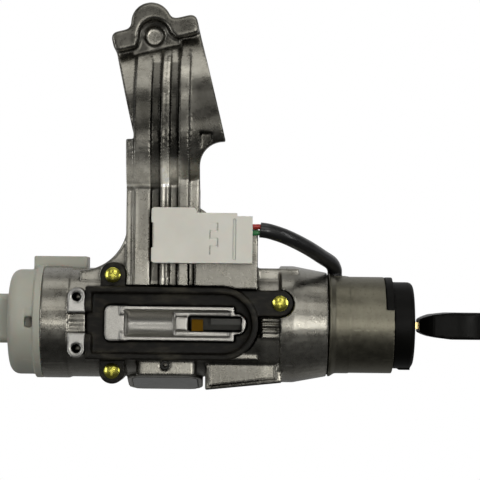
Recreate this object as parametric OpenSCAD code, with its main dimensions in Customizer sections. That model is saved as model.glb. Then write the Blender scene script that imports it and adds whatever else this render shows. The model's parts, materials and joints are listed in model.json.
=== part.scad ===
// Steering lock with ignition switch, key and lead connector.
// X runs along the key's axis towards the key, Y runs away from the interlock guide, Z runs up the
// clamp arm. The origin is the middle of the column saddle, on the steering column's axis.

/* [Column clamp] */
// Radius of the steering column that the saddle holds
column_r = 26; // [25:0.5:27]
// Height of the column's axis above the key's axis
column_rise = 79; // [78:0.5:84]
// Slant of the column against the key's axis, in degrees
column_slant = 13.5; // [12:0.5:15]
// Wall of the saddle
saddle_wall = 4.5; // [4:0.25:5]
// Saddle's reach from its middle to the switch side
saddle_left = 16.5; // [15:0.5:18]
// Saddle's reach from its middle to the key side
saddle_right = 18.5; // [17:0.5:20]
// Distance of each clamp bolt from the column's axis
clamp_bolt_reach = 38.6; // [38.2:0.2:39.4]
// Radius of the threaded holes for the clamp bolts
clamp_bolt_r = 3.4; // [3:0.1:3.6]
// Depth of the threaded holes for the clamp bolts
clamp_bolt_depth = 8; // [7:0.5:8.5]
// Radius of the cored recess in front of the upper hole
core_r = 4.1; // [3.8:0.1:4.4]
// Radius of the hollow round the cored recess
hollow_r = 6.4; // [6:0.1:6.8]
// Thickness of the clamp flanges
flange_t = 11; // [10.5:0.25:12]
// Depth of the raised rim on the upper flange
flange_rim = 15; // [14:0.5:17]
// Radius of the rounded top of the upper flange
crown_r = 8.2; // [8:0.1:9]

/* [Arm] */
// Depth of the arm's web in front of the split plane
web_depth = 20.5; // [19:0.25:22]
// Depth of the ribs in front of the split plane
rib_depth = 24.5; // [24:0.25:25.5]
// Height of the ribs over the saddle's outside
rib_rise = 2.5; // [2:0.25:3.5]
// Half width of the arm on the switch side
arm_left = 15.4; // [15:0.2:17]
// Half width of the arm on the key side
arm_right = 13.8; // [13:0.2:15]
// Radius of the arm's flare into the drum
flare_r = 19; // [17:0.5:20]

/* [Lock body] */
// Radius of the drum that carries the switch
drum_r = 22.8; // [22.4:0.1:24]
// Distance from the lock bolt to the drum's open end
drum_reach = 49.5; // [49:0.5:52]
// Length of the drum
drum_len = 24.5; // [23:0.5:25]
// Radius of the body behind the guide cover
waist_r = 21.5; // [21:0.1:22]
// Radius of the nose before its taper
nose_r = 23.8; // [23:0.1:25]
// Radius of the nose at the sleeve
seam_r = 21.2; // [20.8:0.1:22]
// Distance from the lock bolt to the sleeve's seam
seam_reach = 65.8; // [65:0.2:67]
// Length of the nose's straight part
nose_len = 5.5; // [4.5:0.25:6.5]
// Length of the nose's tapered part
taper_len = 13.8; // [13:0.2:15]
// Radius of the bore for the cam shaft
cam_bore_r = 12; // [11.8:0.1:12.5]

/* [Interlock guide] */
// Distance from the key's axis to the seat of the guide cover
guide_seat = 18; // [17.5:0.25:18.5]
// Distance from the key's axis to the rim of the guide cover
guide_front = 27.5; // [26.5:0.25:28.5]
// Distance from the key's axis to the top of the channel's rails
channel_front = 26.5; // [26:0.1:27]
// Half height of the guide cover
guide_half = 14.5; // [14:0.25:15]
// Wall of the guide cover's rim
guide_rim = 2.4; // [2:0.1:3]
// Thickness of the guide cover's floor
guide_floor = 3; // [2.5:0.25:3.5]
// Half height of the channel over its rails
rail_half = 6.8; // [6.4:0.1:6.9]
// Thickness of the channel's rails
rail_t = 1.6; // [1.4:0.1:1.8]
// Half width of the slot that the brass stop slides in
slot_half = 3; // [2.8:0.1:3.2]
// Depth of the slot behind the rails
slot_depth = 7.3; // [7:0.1:7.6]
// Travel of the brass stop
stop_travel = 2.8; // [2:0.1:2.9]
// Radius of the guide cover's ears
ear_r = 5.2; // [5:0.1:5.6]
// Radius of the screw heads
screw_head_r = 3.1; // [2.8:0.1:3.5]
// Radius of the screws
screw_r = 1.75; // [1.5:0.05:2]

/* [Cable pads] */
// Distance from the key's axis to the pads' faces
pad_front = 25; // [24.5:0.1:25.5]
// Distance of each pad's hole from the middle
pad_hole_reach = 10.3; // [10:0.1:11]
// Radius of the pads' threaded holes
pad_hole_r = 1.7; // [1.5:0.05:1.8]
// Half width of the pads
pad_half = 3.6; // [3.4:0.1:3.8]
// Radius of the cable groove between the pads
groove_r = 4; // [3.6:0.1:4.2]

/* [Lock bolt] */
// Throw of the crank pin
crank_throw = 8; // [7.5:0.1:8.2]
// Radius of the crank pin
crank_pin_r = 3; // [2.8:0.1:3.1]
// Thickness of the bolt
bolt_t = 6.6; // [6:0.1:7]
// Half width of the bolt's shank
bolt_half = 5; // [4.8:0.1:5.2]
// Tilt of the bolt chamber's cover, in degrees
cover_tilt = 14.5; // [13:0.5:15]
// Distance from the key's axis to the middle of the cover
cover_reach = 24.8; // [24.6:0.1:25.5]
// Half length of the boss under the bolt
boss_half = 15.4; // [15:0.1:16]
// Rounding of the boss under the bolt
boss_round = 6.3; // [5:0.1:7]
// Half depth of the boss under the bolt
boss_deep = 12.6; // [12.2:0.1:13]

/* [Key barrel] */
// Radius of the barrel sleeve
barrel_r = 19.7; // [19.2:0.1:20]
// Length of the sleeve in front of its seam
barrel_len = 26.6; // [26:0.2:28]
// Length of the sleeve's spigot in the lock body
spigot_len = 9.6; // [9:0.2:10]
// Radius of the sleeve's spigot
spigot_r = 17; // [16.5:0.1:17.5]
// Radius of the bezel
bezel_r = 17.7; // [17.4:0.1:18.2]
// Length of the bezel in front of the sleeve
bezel_len = 8.6; // [8:0.2:9.6]
// Radius of the bezel's rounded edge
bezel_round = 2.4; // [1.5:0.1:3]
// Radius of the key plug
plug_r = 8.5; // [8.3:0.1:9]
// Distance from one wafer to the next
wafer_pitch = 3; // [2.8:0.05:3.05]
// Thickness of each wafer
wafer_t = 1; // [0.8:0.05:1.2]

/* [Key] */
// Width of the key's blade
blade_w = 8.9; // [8.5:0.1:9.2]
// Thickness of the key's blade
blade_t = 2.8; // [2.4:0.1:3]
// Length of the key's blade outside its head
blade_len = 39.6; // [38:0.2:40]
// Gap between the bezel and the key's head
key_standoff = 2.3; // [2:0.1:3]
// Length of the key's head
head_len = 36; // [34:0.5:38]
// Width of the key's head
head_w = 35; // [33:0.5:37]
// Thickness of the key's head
head_t = 10.8; // [10:0.1:11]
// Thickness of the key's head at the blade
head_neck_t = 5.4; // [5:0.1:6]

/* [Switch] */
// Radius of the switch case
case_r = 21.4; // [21:0.1:22]
// Length of the switch case outside the drum
case_len = 13.5; // [13:0.25:15]
// Rounding of the switch case's end
case_round = 4; // [3:0.25:5]
// Thickness of the flange that meets the drum
case_flange = 3; // [2.5:0.25:3.5]
// Wall of the switch case and its sockets
case_wall = 1.6; // [1.4:0.1:1.9]
// Radius of the switch case's spigot in the drum
case_spigot_r = 19; // [18.8:0.1:19.4]
// Length of the switch case's spigot in the drum
case_spigot = 6.5; // [6:0.25:7]
// Length of the end socket
end_socket_len = 11; // [10:0.5:13]
// Height of the end socket
end_socket_h = 20; // [19:0.5:21]
// Depth of the end socket
end_socket_d = 17; // [16:0.5:18]
// Distance from the key's axis to the top socket's mouth
top_socket_reach = 27; // [26.5:0.25:28]
// Length of the top socket along the key's axis
top_socket_len = 22; // [21:0.5:22.5]
// Depth of the top socket
top_socket_d = 14; // [13:0.25:14.5]

/* [Connector and lead] */
// Thickness of the connector
connector_t = 13; // [12:0.5:14]
// Height of the connector's socket half
connector_h = 21.8; // [21:0.2:22.4]
// Height of the connector's wire half
connector_wire_h = 19.8; // [19:0.2:20.6]
// Length of the connector's socket half
connector_socket_len = 17.5; // [17:0.25:18.5]
// Length of the connector's wire half
connector_wire_len = 22.2; // [21.8:0.2:22.6]
// Wall of the connector
connector_wall = 1.6; // [1.4:0.1:1.8]
// Radius of the lead's sleeve
lead_r = 3; // [2.9:0.1:3.2]
// Wall of the lead's sleeve
lead_wall = 0.7; // [0.6:0.05:0.8]
// Radius of each wire
wire_r = 1.05; // [0.9:0.05:1.05]

/* [Hidden] */
// Clearance of turning and sliding fits
run_gap = 0.1;
// Clearance of assembled fits
fit_gap = 0.05;
// Clearance between pieces that move past each other
free_gap = 0.35;
// Overlap of cuts past a face
cut = 1;
// Length that passes any part of the body
far = 90;

// Places along the key's axis
column_x = 3.5;
drum_x = -drum_reach;
barrel_reach = seam_reach + barrel_len;
bezel_reach = barrel_reach + bezel_len;
waist_x = drum_x + drum_len;
drum_rim_len = 11;
drum_step_x = drum_x + drum_rim_len;
drum_step = 0.5;
taper_x = seam_reach - taper_len;
nose_x = taper_x - nose_len;

// Guide cover, its ears and the channel inside it
guide_left = -31;
guide_arc_x = 23.2;
guide_ears = [[-20.5, 19.1], [-20.5, -19.1], [46.4, 8.4]];
ear_face = guide_seat + guide_floor;
ear_link_half = 5;
screw_depth = 6;
screw_head_h = 2.3;
screw_recess = 1.5;
dome_r = screw_head_r * 1.6;
slot_half_len = screw_head_r * 0.6;
screw_slot = 0.9;
side_link_low = 3.2;
channel_gap = 0.4;
land_left = -23.5;
land_right = -15.5;
land_half = 7.1;
land_round = 2.5;
land_drop = 0.7;
tab_len = 1.5;
tab_h = 3;
rail_right = 28.1;
nose_half = 4.1;
nose_tip = 32.9;
trough_left = -14.6;
trough_right = 3.9;
ledge_depth = 3.6;
cast_stop = [4.7, 9.7];
cast_stop_drop = 1.2;
slot_left = 9.9;
slot_right = 31.2;
slot_floor = channel_front - slot_depth;
stop_x = 11.2;
stop_len = 4.5;
stop_h = 4.6;
stop_depth = 2.9;
bar_gap = 0.4;
bar_x = stop_x + stop_len + stop_travel + bar_gap;
bar_h = 2.1;
bar_low = 0.2;
bar_depth = 4;

// Cable pads
pad_x = -34.7;
pad_root = 15;
pad_inner = groove_r;
pad_chamfer = 0.5;
pad_thread_depth = 9;
groove_axis = pad_front + 1;

// Arm and its ribs, as places along the key's axis
arm_ribs = [[-12.4, -5.7], [-1.9, -0.5], [0.4, 1.8], [5.2, 9.5]];
arm_foot = 10;
flare_top = 40;
flare_depth = 15;
arm_wall_top = column_rise - 6;
arm_round = 3;
side_rise = 0.5;
side_depth = rib_depth - 1.8;
rib_ramp_from = 44;
shell_ramp_from = 40;
rib_r = column_r + saddle_wall + rib_rise;
saddle_r = column_r + saddle_wall;
flange_inner = 24;
flange_edge = 42.2;
rim_edge = 35.2;
crown_reach = 43.9;
crown_fillet = 2.6;
arch_flare = 4;
lower_seat_r = clamp_bolt_r + 1.8;
rim_over = 0.6;
rim_top = 1.2;
rim_round = 2.6;
core_depth = 2;
gusset_r = 9.5;
saddle_low = column_rise - 6.5;
gusset_front = 28;
gusset_top = saddle_low + 3.5;
gusset_rim = 1.2;
connector_pad = [12, 37.3];
connector_pad_z = [10, 39];
step_pad = [36, 54];
step_pad_z = [8, 22.6];
step_pad_depth = 12;
ridge_count = 4;
ridge_pitch = 2.2;
ridge_t = 1.2;
ridge_low = -5.6;
ridge_root = 10;
bolt_tower_half = 7;
bolt_tower_back = 9;
bolt_tower_top = column_rise - column_r - 6;

// Key
key_head_x = bezel_reach + key_standoff;
blade_tip = key_head_x - blade_len;
blade_hold = 9;
blade_root = key_head_x + blade_hold;
tip_len = 2.4;
tip_half = 1.4;
cut_count = 8;
cut_half = wafer_pitch * 0.42;
lower_shift = 3;
groove_end = 3;
shoulder = [5, 1.5];
head_swell = [[2.2, 3.7], [5.2, 4.6]];
cut_depths = [1.1, 0.5, 1.3, 0.8, 1.4, 0.6, 1.2, 0.9];
groove_w = 2.2;
groove_t = 0.6;
neck_half = 8.5;
head_wedge = 12;
ring_hole = [12.5, 6.4];
ring_hole_in = 9.5;

// Key barrel
collar_len = 1.2;
seam_groove = 1;
seam_gap = 0.5;
collar_cone = 2.1;
sleeve_back = seam_reach - spigot_len;
bezel_spigot_len = 8;
bezel_wall = 2.5;
bezel_face_t = 3;
bezel_cut = 3.2;
bezel_cut_z = 6.2;
bezel_hole_r = plug_r + 0.9;
plug_head_r = plug_r + 0.5;
plug_head_x = barrel_reach + 1;
plug_face = bezel_reach - 0.4;
clip_room = 8;
bezel_step = 0.8;
lip_back = 3;
lip_half = 2.5;
lip_out = 0.5;
clip_t = 1;
clip_x = sleeve_back - 0.2 - clip_t;
clip_r = plug_r + 2;
clip_root = plug_r - 1.4;
clip_slot = 5;
plug_back = clip_x - 2.2;
cam_flange_t = 10;
cam_flange_gap = 4.8;
cam_flange_x = [plug_back - cam_flange_gap - cam_flange_t, plug_back - cam_flange_gap];
tail_x = cam_flange_x[1] - 6;
keyway_w = blade_w + 0.5;
keyway_t = blade_t + 0.4;
wafer_count = 8;
first_wafer = 3.8;
wafer_x = blade_tip + first_wafer;
wafer_h = 7;
wafer_gap = 0.12;
pocket_side = 0.5;
lug_z = 6;
lug_y = [0.6, 2.1];
lug_reach = -4.8;
wafer_spring_r = 0.75;
wafer_spring_turns = 4;
wafer_spring_wire = 0.16;

// Crank and lock bolt, with the bolt's motion for each radian of the key
key_lock_deg = -50;
key_start_deg = 70;
bolt_share = 0.85;
bolt_per_radian = bolt_share * crank_throw;
bolt_up = -bolt_per_radian * key_lock_deg * PI / 180;
bolt_down = bolt_per_radian * key_start_deg * PI / 180;
crank_slack = crank_throw * 0.1 + free_gap;
yoke_front = -5;
yoke_wall = 2.3;
yoke_play = 0.5;
yoke_back = crank_throw + crank_pin_r + yoke_play + yoke_wall;
yoke_bar = 3.2;
yoke_half = crank_pin_r + crank_slack + yoke_bar;
bolt_side = bolt_t / 2 + free_gap;
bolt_tip_gap = 0.8;
bolt_tip_z = column_rise - (column_x + bolt_t / 2) * tan(column_slant)
    - column_r / cos(column_slant) - bolt_tip_gap;
disc_t = 6;
disc_r = cam_bore_r - run_gap;
cam_shaft_r = 8;
spindle_r = 7;
tang_t = 3;
tang_w = 9;
spindle_end = drum_x + case_spigot + 0.5;
cover_t = 1.6;
cover_ledge = 2.2;
cover_y = 4.4;
boss_h = 12;
block_x = [-11.2, 12.8];
block_round = 2;
block_front = 17;
block_back = 16.5;
block_bottom = 21;
pin_x = 0.4;
pin_z = -16.8;
pin_bore_r = 1;
pin_r = 1.8;
pin_ends = [-14.4, -9];
wedge_x = 16.6;
wedge_root = 5;
wedge_drop = [5.2, 2];
wedge_front = 15;
panel_edge = 1.5;
panel_depth = 0.8;
wedge_back = 6;
spring_r = 2.4;
spring_wire_r = 0.45;
spring_turns = 6;

// Connector
connector_x = -4.7;
connector_mid = connector_x + connector_socket_len;
connector_end = connector_mid + connector_wire_len;
connector_z = 23.9;
connector_back = -rib_depth;
connector_face = connector_back - connector_t;
lead_y = (connector_face + connector_back) / 2;
connector_step = 1.2;
connector_step_len = 6;
connector_step_x = connector_end - connector_step_len;
connector_web = 3;
connector_top = connector_z + connector_h;
wire_top = connector_z + connector_wire_h;
notch_z = connector_z + connector_h / 2;
connector_round = 1.2;
connector_notch = [0.9, 9.8];
retainer_in = 7.6;
retainer_x = connector_end - retainer_in;
retainer_back = 3;
retainer_low = connector_z + 1.4;
retainer_sink = 0.4;
wire_entry = 4;
pin_rows = 4;
pin_in = 3;
pin_half = [1.1, 0.4];
retainer_t = 1;
retainer_len = 16;
latch_in = 5.2;
latch_x = connector_mid + latch_in;
latch_w = 3;
latch_low = 3.4;
latch_step = 3;
latch_steps = 4;
line_w = 0.5;
line_depth = 0.5;

// Lead's boss, reminder switch and the lead's route
boss_x = seam_reach + lead_r + 0.3;
boss_r = lead_r + 1.4;
boss_top = 20;
fin_top = 22.7;
fin_tip = 1.2;
fin_y = [lead_r + 2 * free_gap, boss_r + free_gap];
barrel_step_x = boss_x + boss_r + 1;
barrel_back_r = barrel_r + 0.2;
reminder_x = [boss_x - 2.5, boss_x + 2.5];
reminder_half = 3.6;
reminder_z = [10.4, 16];
plunger_x = boss_x;
plunger_gap = 0.2;
plunger_in = 2;
plunger_r = 1;
wire_side = wire_r + run_gap + fit_gap;
lead_start = connector_end + 3;
lead_z = 37.4;
function lead_x(share) = lead_start + share * (boss_x - lead_start);
lead_route = [[lead_start, lead_y, lead_z], [lead_x(0.13), lead_y + 0.4, lead_z - 0.6],
    [lead_x(0.354), lead_y + 4, lead_z - 2.8], [lead_x(0.611), lead_y + 11.5, lead_z - 6.4],
    [lead_x(0.82), lead_y + 20.5, lead_z - 10], [lead_x(0.942), lead_y + 26.6, boss_top + 5.2],
    [lead_x(0.9936), -0.9, boss_top + 2.8], [boss_x, 0, boss_top + 0.6], [boss_x, 0, reminder_z[1] + 1]];
wire_lead_in = [[connector_end - 0.4, lead_y, lead_z], [connector_end + 1.2, lead_y, lead_z]];
wire_lead_out = [[boss_x, 0, reminder_z[1] + 0.2]];
route_steps = 3;

// Switch
case_x = drum_x - case_len;
cavity_r = case_spigot_r - case_wall;
cavity_x = case_x + case_wall;
flange_r = drum_r;
plate_t = 2.4;
rotor_gap = 0.35;
contact_t = 1.2;
rotor_x = cavity_x + plate_t + rotor_gap + contact_t;
rotor_t = 6;
tang_x = rotor_x + 1;
rotor_r = cavity_r - rotor_gap;
hub_r = 9.4;
hub_end = drum_x + case_spigot - 0.5;
contact_r = 10.5;
ball_r = 2;
ball_reach = rotor_r - ball_r - 0.05;
detent_coil_r = 1.5;
detent_wire = 0.25;
detent_turns = 4;
return_turns = 3;
return_r = 10.4;
return_wire = 0.6;
end_socket_z = 1.3;
socket_round = 2.5;
top_socket_x = drum_x - 5;
top_socket_y = 2;
top_socket_foot = case_spigot_r - 1.5;
terminal_t = 0.8;
terminal_w = 2.4;
window = [3.2, 4.4];
window_dip = 0.8;
window_rise = 6;
blade_count = 6;
blade_pitch = 4.4;
blade_rows = 8;
blade_sink = 2.5;
top_blades = 4;
top_blade_x = 5;
top_blade_pitch = 4;
contact_half = 5;
contact_h = 1.6;
ball_seat = ball_r * 0.75;
window_in = 7.2;
window_x = case_x + window_in;

// Frames: the key's axis, and the column's axis inside it
module lock_frame() translate([-column_x, 0, -column_rise]) children();
module column_frame() translate([column_x, 0, column_rise]) rotate([0, -column_slant, 0]) children();
module cover_frame() translate([0, cover_y, -cover_reach]) rotate([-cover_tilt, 0, 0]) children();

// Shapes that repeat
module turned() rotate([0, 90, 0]) rotate_extrude($fn = 96) children();
module rod_x(r, x) translate([x[0], 0, 0]) rotate([0, 90, 0]) cylinder(r = r, h = x[1] - x[0], $fn = 72);
module rod_y(r, y) translate([0, y[0], 0]) rotate([-90, 0, 0]) cylinder(r = r, h = y[1] - y[0], $fn = 48);
module rod_z(r, z) translate([0, 0, z[0]]) cylinder(r = r, h = z[1] - z[0], $fn = 48);
module block(x, y, z) translate([x[0], y[0], z[0]]) cube([x[1] - x[0], y[1] - y[0], z[1] - z[0]]);
module plate_y(y) translate([0, y[1], 0]) rotate([90, 0, 0]) linear_extrude(y[1] - y[0]) children();
module plate_x(x) translate([x[0], 0, 0]) rotate([90, 0, 90]) linear_extrude(x[1] - x[0]) children();
module area(x, y) translate([x[0], y[0]]) square([x[1] - x[0], y[1] - y[0]]);
module dot(p, r) translate(p) circle(r = r, $fn = 48);

module round_area(x, y, r) {
    area([x[0] + r, x[1] - r], y);
    area(x, [y[0] + r, y[1] - r]);
    for (i = [0, 1], j = [0, 1])
        dot([x[i] + (i == 0 ? r : -r), y[j] + (j == 0 ? r : -r)], r);
}

module stadium(half_x, half_y) {
    run = half_x - half_y;
    area([-run, run], [-half_y, half_y]);
    for (side = [-1, 1])
        dot([side * run, 0], half_y);
}

// Swept cords and springs: rings of points along a route
function unit(v) = v / norm(v);
function along(p, i) = unit(p[min(i + 1, len(p) - 1)] - p[max(i - 1, 0)]);
function bend(a, b, c, d, t) = 0.5 * (2 * b + (c - a) * t + (2 * a - 5 * b + 4 * c - d) * t * t
    + (3 * b - a - 3 * c + d) * t * t * t);
function smooth_route(p, steps) = concat([for (i = [0 : len(p) - 2], s = [0 : steps - 1])
    bend(p[max(i - 1, 0)], p[i], p[i + 1], p[min(i + 2, len(p) - 1)], s / steps)], [p[len(p) - 1]]);
function side_of(p, i, guide) = unit(cross(along(p, i), guide));
function shifted(p, by, guide) = [for (i = [0 : len(p) - 1]) p[i] + by * side_of(p, i, guide)];
function ring_points(p, r, sides, guide) = [for (i = [0 : len(p) - 1], k = [0 : sides - 1])
    let (u = side_of(p, i, guide), v = cross(u, along(p, i)), a = 360 * k / sides)
    p[i] + r * (cos(a) * u + sin(a) * v)];
function wall_faces(rings, sides, first, turn) = [for (i = [0 : rings - 2], k = [0 : sides - 1])
    let (a = first + i * sides + k, b = first + i * sides + (k + 1) % sides)
    turn ? [a, a + sides, b + sides, b] : [a, b, b + sides, a + sides]];
function ring_loop(first, sides) = [for (k = [0 : sides - 1]) first + k];
function back_loop(first, sides) = [for (k = [sides - 1 : -1 : 0]) first + k];

module swept_cord(p, r, sides, guide) {
    last = (len(p) - 1) * sides;
    polyhedron(ring_points(p, r, sides, guide), concat(wall_faces(len(p), sides, 0, true),
        [ring_loop(0, sides), back_loop(last, sides)]), convexity = 8);
}

module swept_hose(p, r, inner, sides, guide) {
    count = len(p) * sides;
    last = count - sides;
    mouth = [for (k = [0 : sides - 1]) let (n = (k + 1) % sides) [k, n, count + n, count + k]];
    tail = [for (k = [0 : sides - 1]) let (n = (k + 1) % sides)
        [last + n, last + k, count + last + k, count + last + n]];
    polyhedron(concat(ring_points(p, r, sides, guide), ring_points(p, inner, sides, guide)),
        concat(wall_faces(len(p), sides, 0, true), wall_faces(len(p), sides, count, false), mouth, tail),
        convexity = 8);
}

module coil(r, wire, length, turns, steps, sides) {
    pitch_points = [for (i = [0 : turns * steps]) let (a = 360 * i / steps)
        [r * cos(a), r * sin(a), wire + (length - 2 * wire) * i / (turns * steps)]];
    swept_cord(pitch_points, wire, sides, [0, 0, 1]);
}

// Outline of the guide cover, grown by a clearance
module guide_outline(grow) {
    area([guide_left - grow, guide_arc_x], [-guide_half - grow, guide_half + grow]);
    dot([guide_arc_x, 0], guide_half + grow);
    for (ear = guide_ears)
        dot(ear, ear_r + grow);
    for (side = [-1, 1])
        area([guide_ears[0][0] - ear_link_half - grow, guide_ears[0][0] + ear_link_half + grow],
            side > 0 ? [0, guide_ears[0][1]] : [-guide_ears[0][1], 0]);
    area([guide_arc_x, guide_ears[2][0]],
        [side_link_low - grow, guide_ears[2][1] + ear_r + grow]);
}

// Outline of the channel casting that stands up through the guide cover
module channel_outline(grow) {
    round_area([land_left - grow, land_right + land_round],
        [-land_half - grow, land_half + grow], land_round);
    area([land_right, rail_right + grow], [-rail_half - grow, rail_half + grow]);
    area([rail_right, nose_tip - nose_half], [-nose_half - grow, nose_half + grow]);
    dot([nose_tip - nose_half, 0], nose_half + grow);
}

module body_casting() {
    turned() polygon([[0, drum_x], [drum_r, drum_x], [drum_r, drum_step_x],
        [drum_r - drum_step, drum_step_x], [drum_r - drum_step, waist_x], [waist_r, waist_x],
        [waist_r, nose_x], [nose_r, nose_x], [nose_r, taper_x], [seam_r, seam_reach], [0, seam_reach]]);
    plate_y([-guide_seat, 0]) area([guide_left, guide_arc_x + guide_half], [-guide_half, guide_half]);
    for (ear = guide_ears)
        translate([ear[0], 0, ear[1]]) rod_y(ear_r, [-guide_seat, 0]);
    // Step between the arm's pad and the nose
    block(step_pad, [-step_pad_depth, 0], step_pad_z);
}

module cable_pads() {
    for (side = [-1, 1])
        plate_y([-pad_front, -pad_root]) translate([pad_x, 0]) {
            area([-pad_half, pad_half],
                side > 0 ? [pad_inner, pad_hole_reach] : [-pad_hole_reach, -pad_inner]);
            dot([0, side * pad_hole_reach], pad_half);
        }
}

module channel_casting() {
    difference() {
        plate_y([-channel_front, -guide_seat + cut]) channel_outline(0);
        // Ledges between the rails
        block([land_right, rail_right - rail_t], [-channel_front - cut, -channel_front + ledge_depth],
            [-rail_half + rail_t, rail_half - rail_t]);
        // Half round trough for the cable's end
        intersection() {
            translate([0, -channel_front + ledge_depth - rail_t, 0])
                rod_x(rail_half - rail_t, [trough_left, trough_right]);
            block([trough_left, trough_right], [-channel_front, 0],
                [-rail_half, rail_half]);
        }
        // Slot that the brass stop slides in
        block([slot_left, slot_right], [-channel_front - cut, -slot_floor], [-slot_half, slot_half]);
        // Land, a little lower than the rails
        block([land_left - cut, land_right], [-channel_front - cut, -channel_front + land_drop],
            [-land_half - cut, land_half + cut]);
    }
    // Tabs where the rails begin
    for (side = [-1, 1])
        block([land_right - tab_len, land_right + fit_gap], [-channel_front, -guide_seat],
            side > 0 ? [rail_half - tab_h, rail_half] : [-rail_half, -rail_half + tab_h]);
    block(cast_stop, [-channel_front + cast_stop_drop, -slot_floor],
        [-slot_half + channel_gap, slot_half - channel_gap]);
}

module bolt_boss() {
    translate([0, 0, -block_bottom]) linear_extrude(block_bottom)
        round_area(block_x, [-block_front, block_back], block_round);
    cover_frame() linear_extrude(boss_h) boss_outline(0);
    // Wedge shaped flange beside the boss, with a sunk panel
    difference() {
        plate_y([-wedge_front, wedge_back]) wedge_outline(0);
        plate_y([-wedge_front - cut, -wedge_front + panel_depth]) wedge_outline(panel_edge);
    }
}

module boss_outline(inset)
    round_area([-boss_half + inset, boss_half - inset], [-boss_deep + inset, boss_deep - inset],
        boss_round - inset);

module wedge_outline(inset) {
    left = wedge_x + inset;
    right = nose_x + (inset > 0 ? -inset : cut);
    polygon([[left, -waist_r + wedge_root], [right, -waist_r + wedge_root],
        [right, -waist_r - wedge_drop[1] + inset], [left, -waist_r - wedge_drop[0] + inset]]);
}

// Profile of one rib, seen along the key's axis, round the column's axis at that place
module rib_profile(x, r, depth) {
    axis_z = column_rise + (x - column_x) * tan(column_slant);
    area([-depth, 0], [arm_foot, axis_z]);
    intersection() {
        dot([0, axis_z], r);
        area([-far, 0], [0, far * 2]);
    }
    translate([0, axis_z]) ramp(r, rib_ramp_from);
}

// Ramp that leaves a circle at an angle and goes straight on up to the flange
function ramp_top(r, angle) = r * sin(angle) + (r * cos(angle) - flange_t) / tan(angle);

module ramp(r, angle)
    polygon([[-r * cos(angle), r * sin(angle)], [-flange_t, ramp_top(r, angle)], [0, ramp_top(r, angle)],
        [0, 0]]);

module arm() {
    block([-arm_left, arm_right], [-web_depth, 0], [0, arm_wall_top - arm_round]);
    for (rib = arm_ribs)
        plate_x(rib) rib_profile((rib[0] + rib[1]) / 2, rib_r, rib_depth);
    // Side flange of the arm, up to the middle of the saddle
    plate_x([-arm_left, arm_ribs[0][0] + cut]) intersection() {
        rib_profile(-arm_left, saddle_r + side_rise, side_depth);
        area([-far, 0], [arm_foot, arm_wall_top]);
    }
    // Flare of the arm into the drum
    plate_y([-flare_depth, 0]) difference() {
        area([-arm_left - flare_r, -arm_left + cut], [arm_foot, flare_top]);
        dot([-arm_left - flare_r, flare_top], flare_r);
    }
    // Smooth pad behind the connector
    block(connector_pad, [-rib_depth, 0], connector_pad_z);
    // Tower that the lock bolt slides in
    block([-bolt_tower_half, bolt_tower_half], [-web_depth, bolt_tower_back], [0, bolt_tower_top]);
}

// Front outline of the saddle: full width above, and a hollow fillet down to the arm's width
module saddle_outline() {
    area([-far, far], [saddle_low, far * 2]);
    area([-arm_left, arm_right], [0, saddle_low + cut]);
    difference() {
        area([arm_right - cut, arm_right + gusset_r], [saddle_low - gusset_r, saddle_low + cut]);
        dot([arm_right + gusset_r, saddle_low - gusset_r], gusset_r);
    }
}

module saddle() {
    difference() {
        intersection() {
            column_frame() rod_x(saddle_r, [-saddle_left, saddle_right]);
            plate_y([-far, 0]) saddle_outline();
        }
        // Sunk face of the gusset, inside its rim
        plate_y([-far, -gusset_front]) difference() {
            area([arm_right, saddle_right], [0, gusset_top]);
            dot([arm_right + gusset_r, saddle_low - gusset_r], gusset_r + gusset_rim);
        }
    }
    column_frame() {
        plate_y([-flange_t, 0]) area([-saddle_left, saddle_right], [flange_inner, flange_edge]);
        plate_x([-saddle_left, saddle_right]) ramp(saddle_r, shell_ramp_from);
        plate_y([-flange_rim, 0]) flange_rim_outline();
        // Seat of the lower clamp bolt
        translate([0, 0, -clamp_bolt_reach]) rod_y(lower_seat_r, [-flange_t, 0]);
    }
}

// Raised rim of the upper flange, with its crown and the hollow fillets beside the crown
module flange_rim_outline() {
    top = flange_edge + rim_top;
    side = sqrt(pow(crown_r + crown_fillet, 2) - pow(crown_reach - top - crown_fillet, 2));
    round_area([-saddle_left - rim_over, saddle_right], [rim_edge, top], rim_round);
    dot([0, crown_reach], crown_r);
    for (i = [-1, 1])
        difference() {
            polygon([[0, crown_reach], [i * side, top + crown_fillet], [i * side, top - cut],
                [0, top - cut]]);
            dot([i * side, top + crown_fillet], crown_fillet);
        }
}

module clamp_holes() {
    column_frame() {
        rod_x(column_r, [-far, far]);
        for (side = [-1, 1])
            translate([0, 0, side * clamp_bolt_reach]) rod_y(clamp_bolt_r, [-clamp_bolt_depth, far]);
        translate([0, 0, clamp_bolt_reach]) {
            plate_y([-far, -flange_t]) {
                dot([0, 0], hollow_r);
                polygon([[-hollow_r, 0], [hollow_r, 0], [hollow_r + arch_flare, -hollow_r],
                    [-hollow_r - arch_flare, -hollow_r]]);
            }
            rod_y(core_r, [-far, -flange_t + core_depth]);
        }
    }
}

module bolt_chamber(gap) {
    block([-bolt_side, bolt_side], [yoke_front - gap, yoke_back + gap],
        [-cover_reach - boss_deep * tan(cover_tilt), yoke_half + bolt_up + gap]);
    block([-bolt_side, bolt_side], [-bolt_half - gap, bolt_half + gap], [0, column_rise]);
}

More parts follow.
